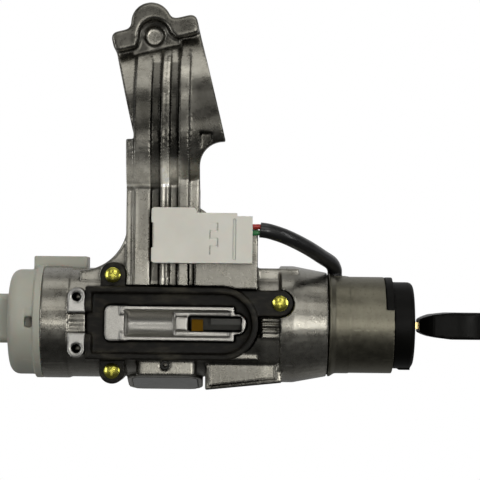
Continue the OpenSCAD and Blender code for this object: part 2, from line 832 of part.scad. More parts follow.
module housing_bores() {
    rod_x(cam_bore_r, [-bolt_side - disc_t - free_gap, seam_reach + cut]);
    rod_x(spigot_r + fit_gap, [sleeve_back - clip_room, seam_reach + cut]);
    rod_x(spindle_r + fit_gap, [drum_x, 0]);
    rod_x(case_spigot_r + fit_gap, [drum_x - cut, drum_x + case_spigot + free_gap]);
    bolt_chamber(free_gap);
    // Seat of the chamber's cover
    cover_frame() translate([0, 0, -cut]) linear_extrude(cover_t + cut)
        boss_outline(cover_ledge - fit_gap);
    translate([pin_x, 0, pin_z]) rod_y(pin_r + fit_gap, [-block_front - cut, pin_ends[1]]);
    // Opening for the top socket of the switch
    block([drum_x - cut, top_socket_x + top_socket_len + free_gap],
        [top_socket_y - free_gap, top_socket_y + top_socket_d + free_gap], [top_socket_foot - free_gap, far]);
    for (ear = guide_ears)
        translate([ear[0], 0, ear[1]]) rod_y(screw_r + fit_gap, [-far, -guide_seat + screw_depth + cut]);
    for (side = [-1, 1])
        translate([pad_x, 0, side * pad_hole_reach]) {
            rod_y(pad_hole_r, [-far, -pad_front + pad_thread_depth]);
            translate([0, -pad_front, 0]) rotate([-90, 0, 0])
                cylinder(r1 = pad_hole_r + pad_chamfer, r2 = pad_hole_r, h = pad_chamfer, $fn = 48);
        }
    translate([0, -groove_axis, 0]) rod_x(groove_r, [drum_step_x, land_left]);
}

module nose_ridges() {
    for (i = [0 : ridge_count - 1])
        translate([0, 0, ridge_low + ridge_pitch * i])
            block([guide_arc_x + guide_half + cut, nose_x + cut], [-waist_r - cut, -ridge_root],
                [0, ridge_t]);
}

module lock_housing() {
    color("silver") lock_frame() difference() {
        union() {
            difference() {
                union() {
                    body_casting();
                    bolt_boss();
                    nose_ridges();
                }
                plate_y([-far, -guide_seat]) guide_outline(free_gap);
            }
            cable_pads();
            channel_casting();
            difference() {
                union() {
                    arm();
                    saddle();
                }
                plate_y([-far, -guide_seat]) guide_outline(free_gap);
            }
        }
        clamp_holes();
        housing_bores();
    }
}

module bolt_chamber_cover() {
    color("gainsboro") lock_frame() cover_frame()
        linear_extrude(cover_t) boss_outline(cover_ledge);
}

module cover_pin() {
    color("dimgray") lock_frame() translate([pin_x, 0, pin_z]) difference() {
        rod_y(pin_r, pin_ends);
        rod_y(pin_bore_r, [pin_ends[0] - cut, pin_ends[1] + cut]);
    }
}

module guide_cover() {
    rim_inner = guide_half - guide_rim;
    color([0.08, 0.08, 0.08]) lock_frame() difference() {
        union() {
            plate_y([-ear_face, -guide_seat]) guide_outline(0);
            plate_y([-guide_front, -guide_seat]) {
                area([guide_left, guide_arc_x], [-guide_half, guide_half]);
                dot([guide_arc_x, 0], guide_half);
            }
        }
        // Recessed band inside the rim
        plate_y([-guide_front - cut, -ear_face]) {
            area([guide_left + guide_rim, guide_arc_x], [-rim_inner, rim_inner]);
            dot([guide_arc_x, 0], rim_inner);
        }
        plate_y([-far, 0]) channel_outline(channel_gap);
        // Way in for the cable through the rim
        block([guide_left - cut, guide_left + guide_rim + cut], [-far, -ear_face],
            [-groove_r - channel_gap, groove_r + channel_gap]);
        for (ear = guide_ears)
            translate([ear[0], 0, ear[1]]) rod_y(screw_r + free_gap, [-far, 0]);
        // Corner past the cable pads
        for (side = [-1, 1])
            plate_y([-far, 0]) translate([pad_x, 0]) dot([0, side * pad_hole_reach], pad_half + channel_gap);
    }
}

module cover_screw() {
    rotate([90, 0, 0]) difference() {
        union() {
            translate([0, 0, -guide_floor - screw_depth])
                cylinder(r = screw_r, h = guide_floor + screw_depth + cut, $fn = 32);
            intersection() {
                cylinder(r = screw_head_r, h = screw_head_h, $fn = 48);
                translate([0, 0, screw_head_h - dome_r]) sphere(r = dome_r, $fn = 48);
            }
        }
        for (turn = [0, 90])
            rotate([0, 0, turn]) block([-slot_half_len, slot_half_len], [-screw_slot / 2, screw_slot / 2],
                [screw_head_h - screw_recess, screw_head_h + cut]);
    }
}

module cover_screws() {
    color([0.8, 0.78, 0.3]) lock_frame() for (ear = guide_ears)
        translate([ear[0], -ear_face, ear[1]]) cover_screw();
}

module interlock_bar() {
    color("gray") lock_frame()
        block([bar_x, slot_right - bar_gap], [-slot_floor - bar_depth, -slot_floor], [-bar_low, bar_h]);
}

module interlock_stop() {
    color([0.5, 0.35, 0.1]) lock_frame()
        block([stop_x, stop_x + stop_len], [-slot_floor - stop_depth, -slot_floor - run_gap],
            [-slot_half + run_gap, -slot_half + run_gap + stop_h]);
}

module barrel_sleeve() {
    collar_x = seam_reach + collar_len;
    color("darkgray") lock_frame() difference() {
        union() {
            turned() polygon([[0, sleeve_back], [spigot_r, sleeve_back], [spigot_r, seam_reach],
                [seam_r - seam_groove, seam_reach], [seam_r - seam_groove, seam_reach + seam_gap],
                [seam_r, seam_reach + seam_gap], [seam_r, collar_x], [barrel_back_r, collar_x + collar_cone],
                [barrel_back_r, barrel_step_x], [barrel_r, barrel_step_x], [barrel_r, barrel_reach],
                [0, barrel_reach]]);
            // Boss that the lead goes into, with a fin behind it
            intersection() {
                translate([boss_x, 0, 0]) rod_z(boss_r, [plug_r + cut, boss_top]);
                block([seam_reach + seam_gap, far * 2], [-far, far], [0, far]);
            }
            plate_y(fin_y) translate([boss_x, 0])
                polygon([[0, plug_r], [0, fin_top], [fin_tip, fin_top], [boss_r, boss_top - cut],
                    [boss_r, plug_r]]);
        }
        rod_x(plug_r + fit_gap, [0, far * 2]);
        rod_x(bezel_r - bezel_step + fit_gap, [barrel_reach - bezel_spigot_len - run_gap, far * 2]);
        // Upper part of the end, cut back for the bezel's collar
        block([barrel_reach - bezel_cut, far * 2], [-far, far], [bezel_cut_z, far]);
        // Pocket of the reminder switch, its plunger and the lead
        block([reminder_x[0] - fit_gap, reminder_x[1] + fit_gap],
            [-reminder_half - fit_gap, reminder_half + fit_gap], [reminder_z[0], reminder_z[1] + free_gap]);
        translate([plunger_x, 0, 0]) rod_z(plunger_r + run_gap, [0, reminder_z[0] + cut]);
        translate([boss_x, 0, 0]) rod_z(lead_r + free_gap, [reminder_z[1], far]);
    }
}

module bezel() {
    spigot = bezel_r - bezel_step;
    inner = spigot - bezel_wall;
    back = barrel_reach - bezel_spigot_len;
    color([0.1, 0.1, 0.1]) lock_frame() difference() {
        union() {
            turned() {
                area([0, spigot], [back, bezel_reach - bezel_round]);
                area([0, bezel_r], [barrel_reach, bezel_reach - bezel_round]);
                area([0, bezel_r - bezel_round], [barrel_reach, bezel_reach]);
                dot([bezel_r - bezel_round, bezel_reach - bezel_round], bezel_round);
            }
            // Collar over the cut back part of the sleeve
            intersection() {
                rod_x(barrel_r - run_gap, [barrel_reach - bezel_cut, barrel_reach]);
                block([0, far * 2], [-far, far], [bezel_cut_z, far]);
            }
            // Small lip under the face
            block([barrel_reach + lip_back, bezel_reach - cut], [-lip_half, lip_half],
                [-bezel_r - lip_out, -bezel_r + bezel_wall]);
        }
        rod_x(inner, [back - cut, bezel_reach - bezel_face_t]);
        rod_x(bezel_hole_r, [0, far * 2]);
    }
}

module keyway() {
    block([blade_tip - cut, far * 2], [-keyway_w / 2, keyway_w / 2], [-keyway_t / 2, keyway_t / 2]);
}

module key_plug() {
    color("silver") lock_frame() difference() {
        union() {
            turned() polygon([[0, plug_back], [plug_r, plug_back], [plug_r, clip_x - fit_gap],
                [clip_root, clip_x - fit_gap], [clip_root, clip_x + clip_t + fit_gap],
                [plug_r, clip_x + clip_t + fit_gap], [plug_r, plug_head_x], [plug_head_r, plug_head_x],
                [plug_head_r, plug_face], [0, plug_face]]);
            block([tail_x, plug_back + cut], [-tang_w / 2, tang_w / 2], [-tang_t / 2, tang_t / 2]);
        }
        keyway();
        for (i = [0 : wafer_count - 1])
            translate([wafer_x + wafer_pitch * i, 0, 0]) {
                slot = wafer_t / 2 + wafer_gap;
                block([-slot, slot], [-far, far], [-wafer_h / 2 - wafer_gap, wafer_h / 2 + wafer_gap]);
                block([-slot - pocket_side, slot + pocket_side], [lug_reach, lug_y[1] + pocket_side],
                    [0, lug_z + wafer_gap]);
            }
    }
}

module plug_clip() {
    color("dimgray") lock_frame() difference() {
        rod_x(clip_r, [clip_x, clip_x + clip_t]);
        rod_x(clip_root + fit_gap, [0, far]);
        block([0, far], [-clip_slot, clip_slot], [0, far]);
    }
}

module wafer(i) {
    color("goldenrod") lock_frame() translate([wafer_x + wafer_pitch * (i - 1), 0, 0]) difference() {
        union() {
            intersection() {
                block([-wafer_t / 2, wafer_t / 2], [-far, far], [-wafer_h / 2, wafer_h / 2]);
                rod_x(plug_r - wafer_gap, [-wafer_t, wafer_t]);
            }
            block([-wafer_t / 2, wafer_t / 2], lug_y, [0, lug_z]);
        }
        block([-wafer_t, wafer_t], [-keyway_w / 2, keyway_w / 2], [-keyway_t / 2, keyway_t / 2]);
    }
}

module wafer_springs() {
    z = (wafer_h / 2 + lug_z) / 2;
    color("lightgray") lock_frame() for (i = [0 : wafer_count - 1])
        translate([wafer_x + wafer_pitch * i, lug_reach, z]) rotate([-90, 0, 0])
            coil(wafer_spring_r, wafer_spring_wire, lug_y[0] - lug_reach, wafer_spring_turns, 8, 5);
}

module cam_shaft() {
    color("silver") lock_frame() difference() {
        union() {
            rod_x(disc_r, [bolt_side, bolt_side + disc_t]);
            rod_x(cam_shaft_r, [bolt_side, cam_flange_x[1]]);
            rod_x(disc_r, cam_flange_x);
            translate([0, crank_throw, 0]) rod_x(crank_pin_r, [-bolt_side - disc_t + cut, bolt_side + cut]);
        }
        block([tail_x - free_gap, cam_flange_x[1] + cut], [-tang_w / 2 - run_gap, tang_w / 2 + run_gap],
            [-tang_t / 2 - run_gap, tang_t / 2 + run_gap]);
    }
}

module switch_spindle() {
    color("darkgray") lock_frame() difference() {
        union() {
            rod_x(disc_r, [-bolt_side - disc_t, -bolt_side]);
            rod_x(spindle_r, [spindle_end, -bolt_side]);
            block([tang_x, spindle_end + cut], [-tang_w / 2, tang_w / 2], [-tang_t / 2, tang_t / 2]);
        }
        translate([0, crank_throw, 0]) rod_x(crank_pin_r + fit_gap, [-bolt_side - disc_t - cut, 0]);
    }
}

module lock_bolt() {
    slot_top = crank_pin_r + crank_slack;
    color("slategray") lock_frame() difference() {
        union() {
            block([-bolt_t / 2, bolt_t / 2], [yoke_front, yoke_back], [-yoke_half, yoke_half]);
            block([-bolt_t / 2, bolt_t / 2], [-bolt_half, bolt_half], [0, bolt_tip_z]);
        }
        block([-far, far], [-crank_pin_r / 2, yoke_back - yoke_wall], [-slot_top, slot_top]);
    }
}

module bolt_spring() {
    seat = -cover_reach + cover_t / cos(cover_tilt)
        + (spring_r + spring_wire_r) * tan(cover_tilt) + run_gap;
    color("lightgray") lock_frame() translate([0, cover_y, seat])
        coil(spring_r, spring_wire_r, -yoke_half - seat, spring_turns, 12, 6);
}

module switch_shell() {
    turned() {
        area([0, case_r], [case_x + case_round, drum_x]);
        area([0, case_r - case_round], [case_x, drum_x]);
        dot([case_r - case_round, case_x + case_round], case_round);
        area([0, flange_r], [drum_x - case_flange, drum_x]);
        area([0, case_spigot_r], [drum_x - cut, drum_x + case_spigot]);
    }
    // End socket
    plate_x([case_x - end_socket_len, case_x + cut]) translate([0, end_socket_z])
        round_area([-end_socket_d / 2, end_socket_d / 2], [-end_socket_h / 2, end_socket_h / 2],
            socket_round);
    // Top socket beside and over the drum
    block([top_socket_x, top_socket_x + top_socket_len], [top_socket_y, top_socket_y + top_socket_d],
        [top_socket_foot, top_socket_reach]);
}

module switch_case() {
    wall = case_wall;
    color([0.85, 0.85, 0.78]) lock_frame() difference() {
        switch_shell();
        rod_x(cavity_r, [cavity_x, drum_x + case_spigot + cut]);
        plate_x([case_x - end_socket_len - cut, case_x - wall]) translate([0, end_socket_z])
            round_area([-end_socket_d / 2 + wall, end_socket_d / 2 - wall],
                [-end_socket_h / 2 + wall, end_socket_h / 2 - wall], socket_round - wall / 2);
        block([top_socket_x + wall, top_socket_x + top_socket_len - wall],
            [top_socket_y + wall, top_socket_y + top_socket_d - wall], [top_socket_foot + wall, far]);
        // Snap window and its hollow
        block([window_x, window_x + window[0]], [-far, -cavity_r + cut], [-window[1] / 2, window[1] / 2]);
        block([window_x, window_x + window[0]], [-far, -case_r + window_dip],
            [0, window[1] + window_rise]);
        // Ways through for the blades
        for (i = [0 : blade_count - 1])
            blade_place(i) block([-far, cavity_x + cut], [-terminal_w / 2, terminal_w / 2],
                [-terminal_t / 2, terminal_t / 2]);
    }
}

module blade_place(i)
    translate([0, (i % 3 - 1) * blade_pitch, end_socket_z + (floor(i / 3) - 0.5) * blade_rows]) children();

module contact_plate() {
    color("saddlebrown") lock_frame() difference() {
        rod_x(cavity_r - fit_gap, [cavity_x, cavity_x + plate_t]);
        for (i = [0 : blade_count - 1])
            blade_place(i) block([-far, 0], [-terminal_w / 2, terminal_w / 2],
                [-terminal_t / 2, terminal_t / 2]);
    }
}

module end_terminals() {
    color("gold") lock_frame() for (i = [0 : blade_count - 1])
        blade_place(i) block([case_x - end_socket_len + blade_sink, cavity_x + plate_t],
            [-terminal_w / 2, terminal_w / 2], [-terminal_t / 2, terminal_t / 2]);
}

module top_terminals() {
    y = top_socket_y + top_socket_d / 2;
    color("gold") lock_frame() for (i = [0 : top_blades - 1])
        translate([top_socket_x + top_blade_x + top_blade_pitch * i, y, 0])
            block([-terminal_w / 2, terminal_w / 2], [-terminal_t / 2, terminal_t / 2],
                [top_socket_foot + case_wall, top_socket_reach - blade_sink]);
}

module switch_rotor() {
    color("ivory") lock_frame() difference() {
        union() {
            rod_x(rotor_r, [rotor_x, rotor_x + rotor_t]);
            rod_x(hub_r, [rotor_x, hub_end]);
        }
        block([tang_x - free_gap, far], [-tang_w / 2 - run_gap, tang_w / 2 + run_gap],
            [-tang_t / 2 - run_gap, tang_t / 2 + run_gap]);
        translate([rotor_x + rotor_t / 2, 0, 0]) rod_z(ball_r + run_gap, [-far, -hub_r]);
    }
}

module bridge_contacts() {
    color("orange") lock_frame() for (turn = [0 : 120 : 240])
        rotate([turn, 0, 0]) translate([0, 0, contact_r])
            block([rotor_x - contact_t, rotor_x], [-contact_half, contact_half], [-contact_h, contact_h]);
}

module detent_ball() {
    color("lightgray") lock_frame() translate([rotor_x + rotor_t / 2, 0, -ball_reach])
        sphere(r = ball_r, $fn = 32);
}

module detent_spring() {
    color("lightgray") lock_frame() translate([rotor_x + rotor_t / 2, 0, -ball_reach + ball_seat])
        coil(detent_coil_r, detent_wire, ball_reach - ball_seat - hub_r, detent_turns, 10, 5);
}

module return_spring() {
    start = rotor_x + rotor_t + rotor_gap;
    color("lightgray") lock_frame() translate([start, 0, 0]) rotate([0, 90, 0])
        coil(return_r, return_wire, hub_end - start, return_turns, 24, 6);
}

module reminder_switch() {
    color([0.15, 0.15, 0.15]) lock_frame() difference() {
        block(reminder_x, [-reminder_half, reminder_half], reminder_z);
        translate([plunger_x, 0, 0]) rod_z(plunger_r + run_gap, [0, reminder_z[0] + plunger_in]);
    }
}

module reminder_plunger() {
    color("ivory") lock_frame() translate([plunger_x, 0, 0])
        rod_z(plunger_r, [plug_r + plunger_gap, reminder_z[0] + plunger_in]);
}

module connector_housing() {
    color([0.9, 0.88, 0.8]) lock_frame() difference() {
        plate_y([connector_face, connector_back]) {
            round_area([connector_x, connector_mid], [connector_z, connector_top], connector_round);
            area([connector_mid - connector_web, connector_step_x], [connector_z, wire_top]);
            area([connector_mid - connector_web, connector_end], [connector_z, wire_top - connector_step]);
        }
        // Mouth for the mating plug and the notch in its lip
        block([connector_x - cut, connector_mid - connector_web],
            [connector_face + connector_wall, connector_back - connector_wall],
            [connector_z + connector_wall, connector_top - connector_wall]);
        block([connector_x - cut, connector_x + connector_notch[0]],
            [-far, connector_face + connector_wall + cut],
            [notch_z - connector_notch[1] / 2, notch_z + connector_notch[1] / 2]);
        // Stepped parting line of the latch
        plate_y([connector_face - cut, connector_face + line_depth]) for (i = [0 : latch_steps - 1]) {
            z = connector_z + latch_low + latch_step * i;
            x = latch_x + (i % 2) * latch_w;
            area([x, x + line_w], [z, z + latch_step + line_w]);
            area([latch_x, latch_x + latch_w + line_w], [z + latch_step, z + latch_step + line_w]);
        }
        // Slot of the retainer
        block([retainer_x - run_gap, retainer_x + retainer_t + run_gap],
            [-far, connector_back - retainer_back],
            [retainer_low, retainer_low + retainer_len + run_gap]);
        // Wire entries
        for (side = [-1, 1])
            translate([0, wire_lead_in[0][1], wire_lead_in[0][2] + side * wire_side])
                rod_x(wire_r + run_gap, [connector_end - wire_entry, far]);
    }
}

module connector_retainer() {
    color([0.92, 0.9, 0.84]) lock_frame()
        block([retainer_x, retainer_x + retainer_t],
            [connector_face + retainer_sink, connector_back - retainer_back],
            [retainer_low, retainer_low + retainer_len]);
}

module connector_terminals() {
    color("gold") lock_frame() for (side = [-1, 1])
        translate([0, lead_y, notch_z + side * pin_rows])
            block([connector_x + pin_in, connector_mid - connector_web], [-pin_half[0], pin_half[0]],
                [-pin_half[1], pin_half[1]]);
}

wire_middle = smooth_route(concat(wire_lead_in, lead_route, wire_lead_out), route_steps);
function wire_route(side) = shifted(wire_middle, side * wire_side, [0, 1, 0]);

module wire_red() {
    color("firebrick") lock_frame() swept_cord(wire_route(1), wire_r, 8, [0, 1, 0]);
}

module wire_green() {
    color("seagreen") lock_frame() swept_cord(wire_route(-1), wire_r, 8, [0, 1, 0]);
}

module wire_sleeve() {
    color([0.07, 0.07, 0.07]) lock_frame()
        swept_hose(smooth_route(lead_route, route_steps), lead_r, lead_r - lead_wall, 12, [0, 1, 0]);
}

// Half outline of the blade's bitted edge, from the tip to the head
function bitting(side) = [for (i = [0 : cut_count - 1], k = [0 : 2])
    let (x = wafer_x + wafer_pitch * i, depth = cut_depths[(i + (side > 0 ? 0 : lower_shift)) % cut_count])
    [x + (k - 1) * cut_half, side * (blade_w / 2 - (k == 1 ? depth : 0))]];

module key_blade() {
    upper = bitting(1);
    lower = bitting(-1);
    color("gold") lock_frame() difference() {
        translate([0, 0, -blade_t / 2]) linear_extrude(blade_t)
            polygon(concat([[blade_tip, tip_half], [blade_tip + tip_len, blade_w / 2]], upper,
                [[blade_root, blade_w / 2], [blade_root, -blade_w / 2]],
                [for (i = [len(lower) - 1 : -1 : 0]) lower[i]],
                [[blade_tip + tip_len, -blade_w / 2], [blade_tip, -tip_half]]));
        for (side = [-1, 1])
            block([blade_tip - cut, key_head_x - groove_end], [-groove_w / 2, groove_w / 2],
                side > 0 ? [blade_t / 2 - groove_t, far] : [-far, -blade_t / 2 + groove_t]);
    }
}

// Upper edge of the key's head, seen from the side
head_side = concat([[0, head_neck_t / 2]], head_swell, [[head_wedge, head_t / 2], [head_len, head_t / 2]]);
function flipped(p) = [p[0], -p[1]];

module head_outline() {
    end_r = head_w / 2;
    end_x = key_head_x + head_len - end_r;
    dot([end_x, 0], end_r);
    polygon([[key_head_x, -neck_half], [key_head_x + shoulder[0], -end_r + shoulder[1]], [end_x, -end_r],
        [end_x, end_r], [key_head_x + shoulder[0], end_r - shoulder[1]], [key_head_x, neck_half]]);
}

module key_head() {
    color([0.09, 0.09, 0.09]) lock_frame() difference() {
        intersection() {
            translate([0, 0, -head_t]) linear_extrude(2 * head_t) head_outline();
            plate_y([-head_w, head_w]) translate([key_head_x, 0])
                polygon(concat(head_side, [for (i = [len(head_side) - 1 : -1 : 0]) flipped(head_side[i])]));
        }
        block([0, blade_root + fit_gap], [-blade_w / 2 - fit_gap, blade_w / 2 + fit_gap],
            [-blade_t / 2 - fit_gap, blade_t / 2 + fit_gap]);
        translate([key_head_x + head_len - ring_hole_in, 0, -far]) linear_extrude(2 * far)
            rotate([0, 0, 90]) stadium(ring_hole[0] / 2, ring_hole[1] / 2);
    }
}

lock_housing();
bolt_chamber_cover();
cover_pin();
guide_cover();
cover_screws();
interlock_bar();
interlock_stop();
barrel_sleeve();
bezel();
key_plug();
plug_clip();
for (i = [1 : wafer_count])
    wafer(i);
wafer_springs();
cam_shaft();
switch_spindle();
lock_bolt();
bolt_spring();
switch_case();
contact_plate();
end_terminals();
top_terminals();
switch_rotor();
bridge_contacts();
detent_ball();
detent_spring();
return_spring();
reminder_switch();
reminder_plunger();
connector_housing();
connector_retainer();
connector_terminals();
wire_red();
wire_green();
wire_sleeve();
key_blade();
key_head();
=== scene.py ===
# %% [markdown]
# # A steering lock with its ignition switch
# The part is a die cast steering lock: a metal body with an arm that clamps to the steering column, a key
# barrel at one end, a switch at the other, and a black guide with a channel on the front.
# The frame brings the measured pieces in metres. Everything below gives them their finish, and the castings
# and mouldings get the soft edges that they have when they come out of a mould.

# %% Load the measured pieces
import json
import math

import bpy
import bmesh
import numpy as np
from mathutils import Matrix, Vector


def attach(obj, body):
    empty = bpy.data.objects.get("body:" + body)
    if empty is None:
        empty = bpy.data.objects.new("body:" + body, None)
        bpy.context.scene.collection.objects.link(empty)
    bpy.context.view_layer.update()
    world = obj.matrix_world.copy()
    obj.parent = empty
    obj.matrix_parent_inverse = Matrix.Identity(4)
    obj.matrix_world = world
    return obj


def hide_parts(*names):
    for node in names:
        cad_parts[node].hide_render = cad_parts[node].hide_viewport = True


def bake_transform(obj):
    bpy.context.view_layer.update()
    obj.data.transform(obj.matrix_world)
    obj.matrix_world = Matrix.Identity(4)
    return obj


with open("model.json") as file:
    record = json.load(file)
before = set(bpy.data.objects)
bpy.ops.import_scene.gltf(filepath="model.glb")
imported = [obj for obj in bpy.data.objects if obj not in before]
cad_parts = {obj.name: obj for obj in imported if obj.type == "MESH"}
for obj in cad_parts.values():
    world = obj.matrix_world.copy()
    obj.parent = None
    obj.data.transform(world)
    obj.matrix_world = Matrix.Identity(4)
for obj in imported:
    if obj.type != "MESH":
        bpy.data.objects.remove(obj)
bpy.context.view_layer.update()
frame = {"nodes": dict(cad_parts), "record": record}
slot_of = {piece["node"]: piece["material_slot"] for piece in frame["record"]["subparts"]}
body_of = {node: body for body, nodes in frame["record"]["behaviour"]["bodies"].items() for node in nodes}
print(len(slot_of), "pieces in", len(set(slot_of.values())), "finishes")

# %% [markdown]
# ## Writing finishes as sums
# A finish is a small network of nodes. The class below holds one output of a node, so that ordinary sums
# build the network: `grain * 0.3 + 0.5` makes the two nodes and links them. Colours and vectors have
# methods of their own, and every other node comes from `Finish.node`.


# %% A value on its way through a finish
class Value:
    def __init__(self, finish, socket):
        self.finish = finish
        self.socket = socket

    def sum(self, kind, first, second):
        return self.finish.node("ShaderNodeMath", {"operation": kind}, {0: first, 1: second})

    def __add__(self, other):
        return self.sum("ADD", self, other)

    def __radd__(self, other):
        return self.sum("ADD", other, self)

    def __sub__(self, other):
        return self.sum("SUBTRACT", self, other)

    def __rsub__(self, other):
        return self.sum("SUBTRACT", other, self)

    def __mul__(self, other):
        return self.sum("MULTIPLY", self, other)

    def __rmul__(self, other):
        return self.sum("MULTIPLY", other, self)

    def step(self, low, high):
        """Goes smoothly from 0 at low to 1 at high."""
        return self.finish.node("ShaderNodeMapRange", {"interpolation_type": "SMOOTHSTEP", "clamp": True},
                                {0: self, 1: low, 2: high, 3: 0.0, 4: 1.0})

    def within(self, low, high, soft):
        """1 between low and high, with a soft border."""
        return self.step(low - soft, low + soft) * (1 - self.step(high - soft, high + soft))

    def mix(self, first, second):
        """A colour between first and second."""
        return self.finish.node("ShaderNodeMix", {"data_type": "RGBA", "clamp_factor": True},
                                {0: self, 6: first, 7: second}, 2)

    def tint(self, factor):
        """This colour made lighter or darker, but never brighter than white."""
        return self.finish.node("ShaderNodeMix",
                                {"data_type": "RGBA", "blend_type": "MULTIPLY", "clamp_result": True},
                                {0: 1.0, 6: self, 7: [factor] * 3}, 2)

    def stretch(self, by):
        """This place, measured with a different scale along each axis."""
        return self.finish.node("ShaderNodeVectorMath", {"operation": "MULTIPLY"}, {0: self, 1: by})

    def away_from(self, x, z):
        """How far this place is, seen from the front, from a point."""
        return self.finish.node("ShaderNodeVectorMath", {"operation": "DISTANCE"},
                                {0: self.stretch((1.0, 0.0, 1.0)), 1: (x, 0.0, z)}, 1)

    def parts(self):
        """The three numbers of this place or direction."""
        return [self.finish.node("ShaderNodeSeparateXYZ", {}, {0: self}, i) for i in range(3)]


print("sums ready")


# %% A finish, built up node by node
class Finish:
    def __init__(self, name):
        self.material = bpy.data.materials.new(name)
        self.material.use_nodes = True
        self.tree = self.material.node_tree
        self.tree.nodes.clear()
        self.place = self.node("ShaderNodeTexCoord", {}, {}, "Object")

    def node(self, kind, settings, inputs, output=0):
        made = self.tree.nodes.new(kind)
        for key, value in settings.items():
            setattr(made, key, value)
        for key, value in inputs.items():
            socket = made.inputs[key]
            if isinstance(value, Value):
                self.tree.links.new(value.socket, socket)
            elif socket.type == "RGBA" and len(value) == 3:
                socket.default_value = (*value, 1.0)
            else:
                socket.default_value = value
        return Value(self, made.outputs[output])

    def noise(self, scale, detail=3.0, rough=0.55, place=None):
        return self.node("ShaderNodeTexNoise", {}, {"Vector": place or self.place, "Scale": scale,
                                                    "Detail": detail, "Roughness": rough})

    def edges(self, low=0.52, high=0.62):
        """1 on the outer edges, where handling rubs a finish bright."""
        return self.node("ShaderNodeNewGeometry", {}, {}, "Pointiness").step(low, high)

    def hollows(self, distance):
        """1 in the open, falling to 0 deep inside a corner or a groove."""
        return self.node("ShaderNodeAmbientOcclusion", {"samples": 8}, {"Distance": distance}, "AO")

    def bump(self, height, strength, distance):
        return self.node("ShaderNodeBump", {}, {"Height": height, "Strength": strength, "Distance": distance})

    def done(self, colour, roughness, normal, **others):
        inputs = {"Base Color": colour, "Roughness": roughness, "Normal": normal}
        inputs.update({key.replace("_", " "): value for key, value in others.items()})
        self.show(self.node("ShaderNodeBsdfPrincipled", {}, inputs))
        return self.material

    def show(self, shader):
        out = self.tree.nodes.new("ShaderNodeOutputMaterial")
        self.tree.links.new(shader.socket, out.inputs["Surface"])


finishes = {}
print("finish kit ready")

# %% [markdown]
# ## Cast metal
# The body is cast in a die and only shot clean, so it has a fine grain, cloudy patches where the metal ran
# together and brighter edges, and its hollows are darkened with painted shade. The two cable pads are milled
# afterwards and the channel keeps a pale, sandy skin, so these are picked out by where they lie. The slot is
# painted near black, as shade.


# %% Cast metal and turned metal
def cast_metal(name, light, dark, rough, pale_boxes=(), painted_dark_boxes=(), shades=(), dulled=(), hole=None):
    """A finish between a light and a dark tone of one metal, with painted shade in its hollows.
    The boxes and areas change places on it, some with painted light and shade.
    """
    f = Finish(name)
    cloud = f.noise(55.0, 4.0)
    flow = f.noise(420.0, 3.0, place=f.place.stretch((1.0, 1.0, 0.12)))
    mottle = f.noise(330.0, 5.0, 0.65)
    grain = f.noise(2600.0, 2.0)
    speck = f.noise(900.0, 2.0).step(0.6, 0.7)
    worn = f.edges()
    open_air = f.hollows(0.005)
    tone = (cloud * 0.45 + flow * 0.2 + mottle * 0.35).step(0.32, 0.68)
    colour = tone.mix(dark, light)
    colour = (speck * 0.35).mix(colour, [c * 0.6 for c in dark])
    colour = (worn * 0.4).mix(colour, [min(1.0, c * 1.5) for c in light])
    # Painted shade: deep in hollows and grooves the colour falls to a dark share of the metal's dark tone.
    colour = open_air.step(0.15, 0.85).mix([c * 0.42 for c in dark], colour)
    roughness = rough + (cloud - 0.5) * 0.16 + (mottle - 0.5) * 0.24 + (grain - 0.5) * 0.12 - worn * 0.06
    height = grain * 0.5 + cloud * 0.8 + flow * 0.25 + mottle * 0.75
    metallic = 1.0
    x, y, z = f.place.parts()
    front = 1 - f.node("ShaderNodeNewGeometry", {}, {}, "True Normal").parts()[1].step(-0.3, 0.0)

    def in_area(low, high, soft):
        """1 on faces that look forward, in an area as it is seen from the front."""
        return x.within(low[0], high[0], soft) * z.within(low[1], high[1], soft) * front

    def in_box(low, high, soft=2e-4):
        return (x.within(low[0], high[0], soft) * y.within(low[1], high[1], soft)
                * z.within(low[2], high[2], soft))

    # Painted light and shade: each area's colour is made lighter or darker by its factor.
    for low, high, soft, factor in shades:
        colour = in_area(low, high, soft).mix(colour, colour.tint(factor))
    for low, high, soft, share in dulled:
        metallic = metallic - in_area(low, high, soft) * share
    if hole:
        centre_x, centre_z, hole_r, hollow_r = hole
        # Painted shade: the upper part of the hollow round the clamp hole is made darker.
        away = f.place.away_from(centre_x, centre_z)
        upper = z.step(centre_z - 0.004, centre_z)
        colour = (away.within(hole_r, hollow_r, 5e-4) * upper).mix(colour, colour.tint(0.8))
        colour = (1 - away.step(hole_r - 4e-4, hole_r)).mix(colour, grain.step(0.4, 0.6).mix(dark, light))
    for low, high, pale in pale_boxes:
        inside = in_box(low, high)
        fleck = f.noise(3400.0, 2.0).step(0.35, 0.65)
        colour = (inside * 0.85).mix(colour, fleck.mix([c * 0.72 for c in pale], pale))
        roughness = roughness + inside * 0.08
    # Painted shade: the slot's floor is painted near black.
    for low, high in painted_dark_boxes:
        colour = (in_box(low, high) * 0.97).mix(colour, (0.012, 0.012, 0.011))
    finishes[name] = f.done(colour, roughness, f.bump(height, 0.34, 1.2e-4), Metallic=metallic)


cast_metal("sleeve_metal", (0.20, 0.19, 0.148), (0.13, 0.123, 0.093), rough=0.42)
cast_metal("cover_plate", (0.21, 0.21, 0.197), (0.14, 0.14, 0.132), rough=0.36)
print("sleeve metal and cover plate")
